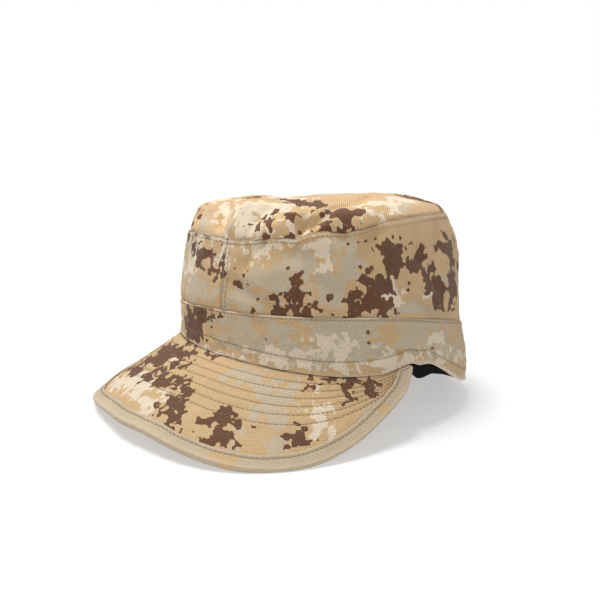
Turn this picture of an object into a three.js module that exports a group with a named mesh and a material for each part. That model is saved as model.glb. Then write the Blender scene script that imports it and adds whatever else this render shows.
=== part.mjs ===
import * as THREE from 'three';

// Head oval at the outside of the hem, in millimetres; the front is -Y and the wearer's left is +X
const ovalHalfLength = 100.2;
const ovalHalfWidth = 90.0;

// The crown leans to the wearer's right front as it rises
const leanAngle = 42;
const leanStart = -1;
const leanEnd = 3;
const leanLow = 10;
const leanHigh = 50;

// Cloth walls
const crownWall = 1.5;
const bandWall = 1.8;
const sweatWall = 1.4;
const gap = 0.3;
const tuckDepth = 7;
const tuckOver = 1.5;
const tuckRows = 0.15;

// Seams in the crown, in degrees round the head
const frontSeamAngle = 5;
const backSeamAngle = 180;
const seamHalfGap = 0.1;

// Peak: a flat board rolled about a line that runs forward and down
const peakPitch = 30.0;
const peakRoll = 140;
const peakTwist = 4.44;
const peakRootHeight = 17.7;
const peakLength = 68.6;
const leftHalfWidth = 103.4;
const rightHalfWidth = 97.5;
const peakRearReach = -40.7;
const leftSquareness = 2.69;
const rightSquareness = 2.5;
const peakEndAngle = 76.8;
const peakThickness = 2.2;
const peakRootScale = 0.993;
const peakSpan = 0.98;

// The hidden rear of the peak's right side hangs lower than the straight roll
const rightDrop = 17;
const rightDropFrom = -22;
const rightDropTo = -74;
const rightDropInner = -35;
const rightDropOuter = -88;

// Binding tape round the peak
const tapeWidth = 8;
const tapeWall = 0.6;
const tapeGap = 0.4;
const tapeSpan = 0.968;
const tapeClear = 1.6;

// How the cap settles on a flat surface: on the peak's two corners and the back of the hem
const restPitch = 4.097;
const restRoll = 4.65;
const restPress = 0.25;

// Grid sizes
const sideColumns = 34;
const sideRows = 9;
const topColumns = 60;
const bandColumns = 80;
const bandRows = 4;
const peakColumns = 44;
const peakRows = 7;

// Scale of the head oval by height
const bodyProfile = [
  { height: -12, scale: 0.995 },
  { height: 6, scale: 1.004 },
  { height: 18, scale: 1.0 },
  { height: 30, scale: 0.994 },
  { height: 42, scale: 0.986 },
  { height: 50, scale: 0.983 },
  { height: 61, scale: 0.975 },
  { height: 71, scale: 0.966 },
  { height: 80, scale: 0.952 },
  { height: 88, scale: 0.931 },
  { height: 95.5, scale: 0.902 },
  { height: 102, scale: 0.858 },
  { height: 106.5, scale: 0.80 },
  { height: 109.5, scale: 0.70 },
  { height: 113.4, scale: 0.50 },
  { height: 115.1, scale: 0.25 },
  { height: 115.6, scale: 0.0 },
];

// Height of the seam round the top panel
const topSeam = [
  { angle: -150, height: 101 },
  { angle: -110, height: 97 },
  { angle: -75, height: 91 },
  { angle: -45, height: 87.5 },
  { angle: -25, height: 88.1 },
  { angle: -8, height: 87.4 },
  { angle: 5, height: 86 },
  { angle: 13, height: 85.7 },
  { angle: 20, height: 87.2 },
  { angle: 28, height: 88.4 },
  { angle: 33.5, height: 88 },
  { angle: 38.5, height: 91.2 },
  { angle: 44, height: 92.8 },
  { angle: 51, height: 92.7 },
  { angle: 58, height: 94.6 },
  { angle: 64.5, height: 97.2 },
  { angle: 74, height: 99.4 },
  { angle: 88, height: 101.1 },
  { angle: 114, height: 102.7 },
  { angle: 145, height: 102 },
  { angle: 180, height: 101.5 },
];

// Height of the band's upper edge
const bandTop = [
  { angle: -160, height: 31.5 },
  { angle: -125, height: 34 },
  { angle: -90, height: 39 },
  { angle: -50, height: 43 },
  { angle: -8, height: 45.1 },
  { angle: 21, height: 44.6 },
  { angle: 57, height: 44.8 },
  { angle: 73, height: 44.2 },
  { angle: 93, height: 40.8 },
  { angle: 132, height: 33 },
  { angle: 160, height: 31.5 },
];

// Height of the hem behind the peak, with an arch at each end of it
const rearHem = [
  { angle: -165, height: -6 },
  { angle: -148, height: -5 },
  { angle: -132, height: -4.6 },
  { angle: -118, height: -2.5 },
  { angle: -104, height: 4 },
  { angle: -94, height: 12 },
  { angle: -86, height: 18.5 },
  { angle: -78, height: 20 },
  { angle: 78, height: 15.2 },
  { angle: 86, height: 15.2 },
  { angle: 93.4, height: 10.5 },
  { angle: 102.3, height: 4.1 },
  { angle: 114, height: -1.5 },
  { angle: 132, height: -5.2 },
  { angle: 148, height: -8 },
  { angle: 165, height: -8.4 },
  { angle: 180, height: -7.3 },
];

// How far the sweatband hangs below the hem
const sweatHang = [
  { angle: -120, hang: -1.5 },
  { angle: -98, hang: 5 },
  { angle: -88, hang: 8.5 },
  { angle: -78, hang: 6 },
  { angle: -66, hang: 0 },
  { angle: 0, hang: -1 },
  { angle: 66, hang: 0 },
  { angle: 76, hang: 5.5 },
  { angle: 83, hang: 9 },
  { angle: 90, hang: 5 },
  { angle: 102, hang: 0 },
  { angle: 120, hang: -1.5 },
  { angle: 180, hang: -1.5 },
];

// Soft dents and bulges of the crown: depth is inward, spreads are half widths
const dents = [
  { angle: 33, height: 97, depth: 2.6, angleSpread: 7, heightSpread: 7 },
  { angle: 36, height: 79, depth: 2.2, angleSpread: 9, heightSpread: 6 },
  { angle: 22, height: 92, depth: -1.4, angleSpread: 8, heightSpread: 5 },
  { angle: 53, height: 101, depth: -2.2, angleSpread: 11, heightSpread: 6 },
  { angle: -3, height: 98, depth: 2.0, angleSpread: 12, heightSpread: 6 },
  { angle: -20, height: 70, depth: 1.2, angleSpread: 14, heightSpread: 9 },
  { angle: 75, height: 72, depth: 1.6, angleSpread: 15, heightSpread: 12 },
  { angle: -100, height: 76, depth: 1.8, angleSpread: 16, heightSpread: 12 },
  { angle: 150, height: 78, depth: 2.2, angleSpread: 18, heightSpread: 12 },
  { angle: -150, height: 70, depth: 2.0, angleSpread: 16, heightSpread: 10 },
  { angle: 95, height: 58, depth: -1.0, angleSpread: 20, heightSpread: 8 },
  { angle: 128, height: 7, depth: -2.0, angleSpread: 30, heightSpread: 18 },
  { angle: -62, height: 111, depth: 3.2, angleSpread: 48, heightSpread: 6 },
];

const radians = (degrees) => degrees * Math.PI / 180;
const clamp = (value, low, high) => Math.min(high, Math.max(low, value));
const mix = (a, b, t) => a + (b - a) * t;

function smoothStep(from, to, value) {
  const t = clamp((value - from) / (to - from), 0, 1);
  return t * t * (3 - 2 * t);
}

// Smooth value of one column of a table kept by angle, closed round the head
function readRound(table, column, angle) {
  const count = table.length;
  const wrapped = angle - 360 * Math.floor((angle - table[0].angle) / 360);
  let index = 0;
  while (index < count - 1 && wrapped >= table[index + 1].angle) {
    index += 1;
  }
  const row = (step) => {
    const place = index + step;
    const turn = Math.floor(place / count);
    const entry = table[place - turn * count];
    return { angle: entry.angle + 360 * turn, value: entry[column] };
  };
  const [before, start, end, after] = [row(-1), row(0), row(1), row(2)];
  const width = end.angle - start.angle;
  const startSlope = (end.value - before.value) / (end.angle - before.angle);
  const endSlope = (after.value - start.value) / (after.angle - start.angle);
  const t = (wrapped - start.angle) / width;
  const square = t * t;
  const cube = square * t;
  return start.value * (2 * cube - 3 * square + 1)
    + startSlope * width * (cube - 2 * square + t)
    + end.value * (3 * square - 2 * cube)
    + endSlope * width * (cube - square);
}

// Smooth scale of the head oval at a height
function ovalScale(height) {
  const last = bodyProfile.length - 1;
  const level = clamp(height, bodyProfile[0].height, bodyProfile[last].height);
  let index = 0;
  while (index < last - 1 && level > bodyProfile[index + 1].height) {
    index += 1;
  }
  const start = bodyProfile[index];
  const end = bodyProfile[index + 1];
  return mix(start.scale, end.scale, (level - start.height) / (end.height - start.height));
}

function lean(height) {
  const share = clamp((height - leanLow) / (leanHigh - leanLow), 0, 1);
  return mix(leanStart, leanEnd, share);
}

function dentDepth(angle, height) {
  let depth = 0;
  for (const dent of dents) {
    const turn = angle - dent.angle - 360 * Math.round((angle - dent.angle) / 360);
    const across = turn / dent.angleSpread;
    const along = (height - dent.height) / dent.heightSpread;
    depth += dent.depth * Math.exp(-across * across - along * along);
  }
  return depth;
}

// Point of the body at an angle and height, moved inward by a depth
function bodyPoint(angle, height, inward, size = ovalScale(height)) {
  const turn = radians(angle);
  const side = Math.sin(turn);
  const front = Math.cos(turn);
  const shift = lean(height);
  return new THREE.Vector3(
    (size * ovalHalfWidth - inward) * side - shift * Math.cos(radians(leanAngle)),
    -(size * ovalHalfLength - inward) * front - shift * Math.sin(radians(leanAngle)),
    height,
  );
}

// Peak sheet: s runs across it and g forward along it, both measured flat
function rightSideDrop(s, g) {
  const rearward = smoothStep(rightDropFrom, rightDropTo, g);
  const sideways = smoothStep(rightDropInner, rightDropOuter, s);
  return rightDrop * rearward * sideways;
}

function sheetPoint(s, g, lift) {
  const roll = s / peakRoll;
  const twist = radians(peakTwist);
  const pitch = radians(peakPitch);
  const across = (peakRoll + lift) * Math.sin(roll);
  const rise = (peakRoll + lift) * Math.cos(roll) - peakRoll;
  const x = across * Math.cos(twist) + rise * Math.sin(twist);
  const h = rise * Math.cos(twist) - across * Math.sin(twist);
  return new THREE.Vector3(
    x,
    -ovalHalfLength - g * Math.cos(pitch) - h * Math.sin(pitch),
    peakRootHeight - g * Math.sin(pitch) + h * Math.cos(pitch) - rightSideDrop(s, g),
  );
}

// Flat place on the sheet that lies above or below a plan position
function sheetPlace(x, y, lift) {
  let s = x;
  let g = 0;
  for (let step = 0; step < 14; step += 1) {
    const here = sheetPoint(s, g, lift);
    const alongS = sheetPoint(s + 0.1, g, lift);
    const alongG = sheetPoint(s, g + 0.1, lift);
    const sx = (alongS.x - here.x) / 0.1;
    const sy = (alongS.y - here.y) / 0.1;
    const gx = (alongG.x - here.x) / 0.1;
    const gy = (alongG.y - here.y) / 0.1;
    const whole = sx * gy - gx * sy;
    const errorX = x - here.x;
    const errorY = y - here.y;
    s += (errorX * gy - gx * errorY) / whole;
    g += (sx * errorY - errorX * sy) / whole;
    s = clamp(s, -peakRoll * 1.4, peakRoll * 1.4);
  }
  return { s, g, height: sheetPoint(s, g, lift).z };
}

function rootPlace(angle, scale) {
  const turn = radians(angle);
  const x = scale * ovalHalfWidth * Math.sin(turn);
  const y = -scale * ovalHalfLength * Math.cos(turn);
  return sheetPlace(x, y, 0);
}

// Outer edge of the flat peak, t from -1 at the wearer's right end to 1 at the left end
const edgeEnds = [rootPlace(-peakEndAngle, 1), rootPlace(peakEndAngle, 1)];

function edgeCurve(side, share) {
  const frontPart = 0.8;
  const halfWidth = side < 0 ? rightHalfWidth : leftHalfWidth;
  if (share < frontPart) {
    const turn = (share / frontPart) * Math.PI / 2;
    const power = 2 / (side < 0 ? rightSquareness : leftSquareness);
    return {
      s: side * halfWidth * Math.sin(turn) ** power,
      g: peakRearReach + (peakLength - peakRearReach) * Math.cos(turn) ** power,
    };
  }
  const t = (share - frontPart) / (1 - frontPart);
  const end = edgeEnds[side < 0 ? 0 : 1];
  return {
    s: mix(side * halfWidth, end.s, t * t),
    g: mix(peakRearReach, end.g, t),
  };
}

// The edge at even steps along its length
function makeEdgeTable(side) {
  const steps = 400;
  const table = [];
  let length = 0;
  let last = edgeCurve(side, 0);
  for (let step = 0; step <= steps; step += 1) {
    const place = edgeCurve(side, step / steps);
    length += Math.hypot(place.s - last.s, place.g - last.g);
    table.push({ length, s: place.s, g: place.g });
    last = place;
  }
  return table;
}

const edgeTables = [makeEdgeTable(-1), makeEdgeTable(1)];

function edgePlace(t) {
  const table = edgeTables[t < 0 ? 0 : 1];
  const wanted = Math.min(Math.abs(t), 1) * table[table.length - 1].length;
  let index = 0;
  while (index < table.length - 2 && table[index + 1].length < wanted) {
    index += 1;
  }
  const start = table[index];
  const end = table[index + 1];
  const share = (wanted - start.length) / (end.length - start.length);
  return { s: mix(start.s, end.s, share), g: mix(start.g, end.g, share) };
}

// Unit direction in the flat peak that points inward from its edge
function edgeInward(t) {
  const before = edgePlace(t - 0.01);
  const after = edgePlace(t + 0.01);
  const ds = after.s - before.s;
  const dg = after.g - before.g;
  const length = Math.hypot(ds, dg);
  return { s: dg / length, g: -ds / length };
}

// Height of the hem: just over the peak where there is one, by table behind it
function hemHeight(angle, inward) {
  const wrapped = angle - 360 * Math.round(angle / 360);
  const behind = readRound(rearHem, 'height', wrapped);
  if (Math.abs(wrapped) > peakEndAngle + 4) {
    return behind;
  }
  const outside = bodyPoint(wrapped, 15, inward, 1);
  const over = sheetPlace(outside.x, outside.y, peakThickness / 2).height + gap * 1.4;
  const blend = smoothStep(peakEndAngle - 1, peakEndAngle + 4, Math.abs(wrapped));
  return mix(over, Math.max(over, behind), blend);
}

// Closed wall between an outer and an inner grid of points
function wallGeometry(rows, columns, closed, outer, inner) {
  const positions = [];
  const faces = [];
  const perRow = closed ? columns : columns + 1;
  for (const grid of [outer, inner]) {
    for (let row = 0; row <= rows; row += 1) {
      for (let column = 0; column < perRow; column += 1) {
        const point = grid(column / columns, row / rows);
        positions.push(point.x, point.y, point.z);
      }
    }
  }
  const innerStart = (rows + 1) * perRow;
  const at = (row, column) => row * perRow + (column % perRow);
  const quad = (a, b, c, d) => {
    faces.push(a, b, c, a, c, d);
  };
  for (let row = 0; row < rows; row += 1) {
    for (let column = 0; column < columns; column += 1) {
      const [a, b] = [at(row, column), at(row, column + 1)];
      const [c, d] = [at(row + 1, column + 1), at(row + 1, column)];
      quad(a, b, c, d);
      quad(innerStart + d, innerStart + c, innerStart + b, innerStart + a);
    }
  }
  for (let column = 0; column < columns; column += 1) {
    const [a, b] = [at(0, column), at(0, column + 1)];
    const [c, d] = [at(rows, column), at(rows, column + 1)];
    quad(innerStart + a, innerStart + b, b, a);
    quad(c, d, innerStart + d, innerStart + c);
  }
  if (!closed) {
    for (let row = 0; row < rows; row += 1) {
      const [a, b] = [at(row, 0), at(row + 1, 0)];
      const [c, d] = [at(row, columns), at(row + 1, columns)];
      quad(a, b, innerStart + b, innerStart + a);
      quad(innerStart + c, innerStart + d, d, c);
    }
  }
  return makeGeometry(positions, faces);
}

function makeGeometry(positions, faces) {
  const geometry = new THREE.BufferGeometry();
  geometry.setAttribute('position', new THREE.Float32BufferAttribute(positions, 3));
  geometry.setIndex(faces);
  return geometry;
}

// Side panel between two angles, tucked behind the band at the bottom
function sidePanel(fromAngle, toAngle) {
  const place = (u, v) => {
    const angle = mix(fromAngle, toAngle, u);
    const low = readRound(bandTop, 'height', angle) - tuckDepth;
    const high = readRound(topSeam, 'height', angle);
    const tuckShare = (tuckDepth + tuckOver) / (high - low);
    const share = v < tuckRows
      ? mix(0, tuckShare, v / tuckRows)
      : mix(tuckShare, 1, (v - tuckRows) / (1 - tuckRows));
    return { angle, height: mix(low, high, share), low };
  };
  const tuck = (spot) => {
    const over = spot.height - spot.low - tuckDepth;
    return (bandWall + gap) * (1 - smoothStep(0, 6, over));
  };
  const outer = (u, v) => {
    const spot = place(u, v);
    return bodyPoint(spot.angle, spot.height, dentDepth(spot.angle, spot.height) + tuck(spot));
  };
  const inner = (u, v) => {
    const spot = place(u, v);
    const depth = dentDepth(spot.angle, spot.height) + tuck(spot) + crownWall;
    return bodyPoint(spot.angle, spot.height, depth);
  };
  return wallGeometry(sideRows, sideColumns, false, outer, inner);
}

// Height at each step from the top seam to the middle of the dome
function domeHeight(seamHeight, share) {
  const seamScale = ovalScale(seamHeight);
  const wanted = seamScale * (1 - share);
  let low = seamHeight;
  let high = bodyProfile[bodyProfile.length - 1].height;
  for (let step = 0; step < 40; step += 1) {
    const middle = (low + high) / 2;
    if (ovalScale(middle) > wanted) {
      low = middle;
    } else {
      high = middle;
    }
  }
  return { height: (low + high) / 2, scale: wanted };
}

function domePoint(angle, share) {
  const seam = readRound(topSeam, 'height', angle);
  const spot = domeHeight(seam, share);
  const depth = dentDepth(angle, spot.height) * clamp(spot.scale * 2, 0, 1);
  const height = spot.height - depth * 0.5 * smoothStep(0, 0.1, share) + gap;
  return bodyPoint(angle, height, depth, spot.scale);
}

function topPanel() {
  const positions = [];
  const faces = [];
  const shares = [0, 0.025, 0.06, 0.11, 0.18, 0.29, 0.43, 0.6, 0.8];
  const apexOuter = domePoint(0, 1);
  for (const layer of [0, 1]) {
    for (const share of shares) {
      for (let column = 0; column < topColumns; column += 1) {
        const angle = 360 * column / topColumns;
        const here = domePoint(angle, share);
        if (layer === 1 && share === 0) {
          const turn = radians(angle);
          here.x -= crownWall * Math.sin(turn);
          here.y += crownWall * Math.cos(turn);
        } else if (layer === 1) {
          const along = domePoint(angle + 2, share).sub(domePoint(angle - 2, share));
          const rise = domePoint(angle, share + 0.015).sub(domePoint(angle, share - 0.015));
          const normal = new THREE.Vector3().crossVectors(along, rise).normalize();
          here.addScaledVector(normal, -crownWall);
        }
        positions.push(here.x, here.y, here.z);
      }
    }
  }
  const rings = shares.length;
  const at = (layer, ring, column) => (layer * rings + ring) * topColumns + (column % topColumns);
  const apex = 2 * rings * topColumns;
  positions.push(apexOuter.x, apexOuter.y, apexOuter.z);
  positions.push(apexOuter.x, apexOuter.y, apexOuter.z - crownWall);
  for (let column = 0; column < topColumns; column += 1) {
    for (let ring = 0; ring < rings - 1; ring += 1) {
      const [a, b] = [at(0, ring, column), at(0, ring, column + 1)];
      const [c, d] = [at(0, ring + 1, column + 1), at(0, ring + 1, column)];
      faces.push(a, b, c, a, c, d);
      const [e, f] = [at(1, ring, column), at(1, ring, column + 1)];
      const [g, h] = [at(1, ring + 1, column + 1), at(1, ring + 1, column)];
      faces.push(h, g, f, h, f, e);
    }
    faces.push(at(0, rings - 1, column), at(0, rings - 1, column + 1), apex);
    faces.push(at(1, rings - 1, column + 1), at(1, rings - 1, column), apex + 1);
    const [a, b] = [at(0, 0, column), at(0, 0, column + 1)];
    const [c, d] = [at(1, 0, column + 1), at(1, 0, column)];
    faces.push(d, c, b, d, b, a);
  }
  return makeGeometry(positions, faces);
}

function bandGeometry() {
  const wall = (extra) => (u, v) => {
    const angle = 360 * u;
    const low = hemHeight(angle, extra);
    const high = readRound(bandTop, 'height', angle);
    const height = mix(low, high, v);
    return bodyPoint(angle, height, extra + dentDepth(angle, height));
  };
  return wallGeometry(bandRows, bandColumns, true, wall(0), wall(bandWall));
}

function sweatGeometry() {
  const start = bandWall + gap * 1.5;
  const wall = (inward) => (u, v) => {
    const angle = 360 * u;
    const low = hemHeight(angle, 0) - readRound(sweatHang, 'hang', angle);
    const high = readRound(bandTop, 'height', angle) - tuckDepth - gap;
    const height = mix(low, high, v);
    return bodyPoint(angle, height, inward + dentDepth(angle, height));
  };
  return wallGeometry(bandRows, bandColumns, true, wall(start), wall(start + sweatWall));
}

// Peak: rows run from the root under the hem to the outer edge
function peakGeometry() {
  const layer = (lift) => (u, v) => {
    const t = mix(-peakSpan, peakSpan, u);
    const root = rootPlace(t * peakEndAngle, peakRootScale);
    const edge = edgePlace(t);
    return sheetPoint(mix(root.s, edge.s, v), mix(root.g, edge.g, v), lift);
  };
  const half = peakThickness / 2;
  return wallGeometry(peakRows, peakColumns, false, layer(-half), layer(half));
}

// Tape: its section is a U that wraps the edge, cut short where it meets the hem
function tapeReach(t) {
  const edge = edgePlace(t);
  const inward = edgeInward(t);
  let reach = tapeWidth;
  for (let step = 0; step < 60; step += 1) {
    const spot = sheetPoint(edge.s + inward.s * reach, edge.g + inward.g * reach, 2);
    const scale = Math.hypot(
      spot.x / (ovalHalfWidth + tapeClear),
      spot.y / (ovalHalfLength + tapeClear),
    );
    if (scale > 1 || reach < 1) {
      break;
    }
    reach -= 0.25;
  }
  return reach;
}

function tapeGeometry() {
  const half = peakThickness / 2;
  const section = (outside) => {
    const lift = half + tapeGap + (outside ? tapeWall : 0);
    const fold = -(tapeGap + (outside ? tapeWall : 0));
    return [
      { reach: 1, lift },
      { reach: 0.5, lift },
      { reach: 0.1, lift },
      { reach: 0, along: fold * 0.75, lift: lift * 0.66 },
      { reach: 0, along: fold, lift: 0 },
      { reach: 0, along: fold * 0.75, lift: -lift * 0.66 },
      { reach: 0.1, lift: -lift },
      { reach: 0.5, lift: -lift },
      { reach: 1, lift: -lift },
    ];
  };
  const layer = (outside) => {
    const chain = section(outside);
    return (u, v) => {
      const t = clamp(mix(-peakSpan, peakSpan, u), -tapeSpan, tapeSpan);
      const edge = edgePlace(t);
      const inward = edgeInward(t);
      const spot = chain[Math.round(v * (chain.length - 1))];
      const distance = spot.reach * tapeReach(t) + (spot.along || 0);
      return sheetPoint(edge.s + inward.s * distance, edge.g + inward.g * distance, spot.lift);
    };
  };
  return wallGeometry(8, peakColumns, false, layer(false), layer(true));
}

function addMesh(group, name, geometry, color, roughness) {
  const material = new THREE.MeshStandardMaterial({ color, roughness, metalness: 0 });
  const mesh = new THREE.Mesh(geometry, material);
  mesh.name = name;
  group.add(mesh);
}

// Tilt the whole cap to how it rests, centre it and press its lowest cloth flat
function settle(group) {
  const tilt = new THREE.Matrix4().makeRotationY(radians(-restRoll));
  tilt.premultiply(new THREE.Matrix4().makeRotationX(radians(-restPitch)));
  const box = new THREE.Box3();
  for (const mesh of group.children) {
    mesh.geometry.applyMatrix4(tilt);
    mesh.geometry.computeBoundingBox();
    box.union(mesh.geometry.boundingBox);
  }
  const centre = box.getCenter(new THREE.Vector3());
  for (const mesh of group.children) {
    mesh.geometry.translate(-centre.x, -centre.y, -box.min.z - restPress);
    const places = mesh.geometry.attributes.position;
    for (let index = 0; index < places.count; index += 1) {
      places.setZ(index, Math.max(0, places.getZ(index)));
    }
    mesh.geometry.computeVertexNormals();
  }
}

const cap = new THREE.Group();
const leftPanel = sidePanel(frontSeamAngle + seamHalfGap, backSeamAngle - seamHalfGap);
const rightPanel = sidePanel(seamHalfGap - backSeamAngle, frontSeamAngle - seamHalfGap);
addMesh(cap, 'crown_top', topPanel(), '#a08a68', 0.9);
addMesh(cap, 'crown_left', leftPanel, '#9c8565', 0.9);
addMesh(cap, 'crown_right', rightPanel, '#9c8565', 0.9);
addMesh(cap, 'band', bandGeometry(), '#a39175', 0.9);
addMesh(cap, 'sweatband', sweatGeometry(), '#1c1b1d', 0.95);
addMesh(cap, 'peak', peakGeometry(), '#a58f6e', 0.9);
addMesh(cap, 'peak_binding', tapeGeometry(), '#c3b08e', 0.9);
settle(cap);

export default cap;
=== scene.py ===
import random
from bisect import bisect_left
from functools import lru_cache
from math import cos, exp, floor, hypot, inf, log, pi, radians, sin

import bmesh
import bpy
from mathutils import Matrix, Vector, noise


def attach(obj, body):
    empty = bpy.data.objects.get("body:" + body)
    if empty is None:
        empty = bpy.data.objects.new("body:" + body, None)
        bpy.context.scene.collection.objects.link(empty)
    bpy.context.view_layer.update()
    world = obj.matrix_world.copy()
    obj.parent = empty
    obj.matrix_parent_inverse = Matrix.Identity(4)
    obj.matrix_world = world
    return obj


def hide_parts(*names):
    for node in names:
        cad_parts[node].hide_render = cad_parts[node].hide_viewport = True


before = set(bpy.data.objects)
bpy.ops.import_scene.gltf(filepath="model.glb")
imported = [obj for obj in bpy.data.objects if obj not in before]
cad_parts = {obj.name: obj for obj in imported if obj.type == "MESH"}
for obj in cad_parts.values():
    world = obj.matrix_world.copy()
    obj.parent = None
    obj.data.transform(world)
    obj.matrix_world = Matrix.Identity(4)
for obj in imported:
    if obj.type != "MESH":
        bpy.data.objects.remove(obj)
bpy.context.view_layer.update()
print("frame loaded:", sorted(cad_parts))

# The cap is worked out in millimetres in its own upright place, front at -Y,
# and rest() lays every point down on the floor as the CAD does.

settle = {
    "pitch": 4.097,
    "roll": 4.65,
    "shift": (0.78125, 30.08037, 14.74302),
    "floorClear": 0.03,
}
restTurn = Matrix.Rotation(radians(-settle["pitch"]), 3, "X")
restTurn = restTurn @ Matrix.Rotation(radians(-settle["roll"]), 3, "Y")
restShift = Vector(settle["shift"])


def rest(point):
    placed = restTurn @ point + restShift
    placed.z = max(placed.z, settle["floorClear"])
    return placed / 1000


# camera and stage

view = {
    "spot": (350.006, -383.269, 184.262),  # millimetres
    "right": (0.73395, 0.67743, 0.04908),
    "up": (-0.18923, 0.13455, 0.97267),
    "back": (0.65231, -0.72318, 0.22695),
    "lens": 49.63,
}

cameraData = bpy.data.cameras.new("camera")
cameraData.lens = view["lens"]
cameraData.sensor_width = 36
cameraData.clip_start = 0.01
camera = bpy.data.objects.new("camera", cameraData)
bpy.context.scene.collection.objects.link(camera)
turn = Matrix((view["right"], view["up"], view["back"])).transposed().to_4x4()
camera.matrix_world = Matrix.Translation(Vector(view["spot"]) / 1000) @ turn
bpy.context.scene.camera = camera

studio = {
    "glow": (1.0, 0.99, 0.98),
    "glowPower": 0.35,
    "backdrop": (1.0, 1.0, 1.0),
    "lamps": [            # name, where each soft sun shines from, softness, power, tint
        ("keyLight", (-0.36, -0.12, 1.25), 26, 3.2, (1.0, 0.99, 0.98)),
        ("fillLight", (1.0, -0.9, 0.7), 60, 0.32, (1.0, 0.98, 0.96)),
    ],
}

bpy.context.scene.view_settings.view_transform = "Standard"
world = bpy.data.worlds.new("studio")
bpy.context.scene.world = world
world.use_nodes = True
sky = world.node_tree
glow = sky.nodes["Background"]
glow.inputs["Color"].default_value = (*studio["glow"], 1)
glow.inputs["Strength"].default_value = studio["glowPower"]
backdrop = sky.nodes.new("ShaderNodeBackground")
backdrop.inputs["Color"].default_value = (*studio["backdrop"], 1)
seen = sky.nodes.new("ShaderNodeLightPath")
either = sky.nodes.new("ShaderNodeMixShader")
sky.links.new(seen.outputs["Is Camera Ray"], either.inputs[0])
sky.links.new(glow.outputs[0], either.inputs[1])
sky.links.new(backdrop.outputs[0], either.inputs[2])
sky.links.new(either.outputs[0], sky.nodes["World Output"].inputs[0])

for name, spot, softness, power, tint in studio["lamps"]:
    lampData = bpy.data.lights.new(name, "SUN")
    lampData.energy = power
    lampData.angle = radians(softness)
    lampData.color = tint
    lamp = bpy.data.objects.new(name, lampData)
    bpy.context.scene.collection.objects.link(lamp)
    aim = (-Vector(spot)).to_track_quat("-Z", "Y").to_matrix().to_4x4()
    lamp.matrix_world = Matrix.Translation(Vector(spot)) @ aim


# shader tools

class Wire:
    # a socket that can be used in a sum

    def __init__(self, board, socket):
        self.board = board
        self.socket = socket

    def work(self, operation, *values):
        return self.board.node("ShaderNodeMath", {"operation": operation}, dict(enumerate(values)))

    def __add__(self, other):
        return self.work("ADD", self, other)

    def __radd__(self, other):
        return self.work("ADD", other, self)

    def __sub__(self, other):
        return self.work("SUBTRACT", self, other)

    def __rsub__(self, other):
        return self.work("SUBTRACT", other, self)

    def __mul__(self, other):
        return self.work("MULTIPLY", self, other)

    def __rmul__(self, other):
        return self.work("MULTIPLY", other, self)


class Board:
    # one material and its nodes

    def __init__(self, name, **constants):
        self.material = bpy.data.materials.new(name)
        self.material.use_nodes = True
        self.tree = self.material.node_tree
        self.shader = self.tree.nodes["Principled BSDF"]
        for key, value in constants.items():
            self.shader.inputs[key.replace("_", " ")].default_value = value

    def node(self, kind, settings=None, inputs=None, output=0):
        node = self.tree.nodes.new(kind)
        for key, value in (settings or {}).items():
            setattr(node, key, value)
        for key, value in (inputs or {}).items():
            self.plug(node.inputs[key], value)
        return Wire(self, node.outputs[output])

    def plug(self, socket, value):
        if isinstance(value, Wire):
            self.tree.links.new(value.socket, socket)
        else:
            socket.default_value = value

    def set(self, key, value):
        self.plug(self.shader.inputs[key], value)

    def mark(self, name):
        return self.node("ShaderNodeAttribute", {"attribute_name": name}, None, "Fac")

    def clothPlace(self):
        return self.node("ShaderNodeUVMap", {"uv_map": "cloth"}, None, "UV")

    def solidPlace(self):
        return self.node("ShaderNodeTexCoord", None, None, "Object")

    def turned(self, place, turn, scale=(1, 1, 1)):
        inputs = {"Vector": place, "Rotation": (0, 0, radians(turn)), "Scale": scale}
        return self.node("ShaderNodeMapping", None, inputs)

    def cloud(self, place, size, detail=2.0, rough=0.5, shift=0.0):
        # soft noise around 0, size is in metres
        inputs = {"Vector": place, "W": shift, "Scale": 1 / size, "Detail": detail, "Roughness": rough}
        return self.node("ShaderNodeTexNoise", {"noise_dimensions": "4D"}, inputs, "Fac") - 0.5

    def lines(self, place, pitch, direction="X"):
        # even lines from 0 to 1
        settings = {"wave_type": "BANDS", "bands_direction": direction, "wave_profile": "SIN"}
        return self.node("ShaderNodeTexWave", settings, {"Vector": place, "Scale": pi / 10 / pitch}, "Fac")

    def step(self, value, low, high):
        inputs = {"Value": value, "From Min": low, "From Max": high}
        return self.node("ShaderNodeMapRange", {"interpolation_type": "SMOOTHSTEP"}, inputs)

    def blend(self, share, first, second, kind="MIX"):
        settings = {"data_type": "RGBA", "blend_type": kind, "clamp_result": True}
        return self.node("ShaderNodeMix", settings, {0: share, 6: first, 7: second}, 2)

    def shaded(self, colour, tone):
        grey = self.node("ShaderNodeCombineXYZ", None, {0: tone, 1: tone, 2: tone})
        return self.blend(1.0, colour, grey, "MULTIPLY")

    def bump(self, height, distance, strength, under=None):
        inputs = {"Height": height, "Distance": distance, "Strength": strength}
        if under:
            inputs["Normal"] = under
        return self.node("ShaderNodeBump", None, inputs)


def paint(red, green, blue):
    # a colour as read off a screen, 0 to 255
    linear = []
    for value in (red, green, blue):
        share = value / 255
        linear.append(share / 12.92 if share < 0.04045 else ((share + 0.055) / 1.055) ** 2.4)
    return (*linear, 1)


# cloth finishes

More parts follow.
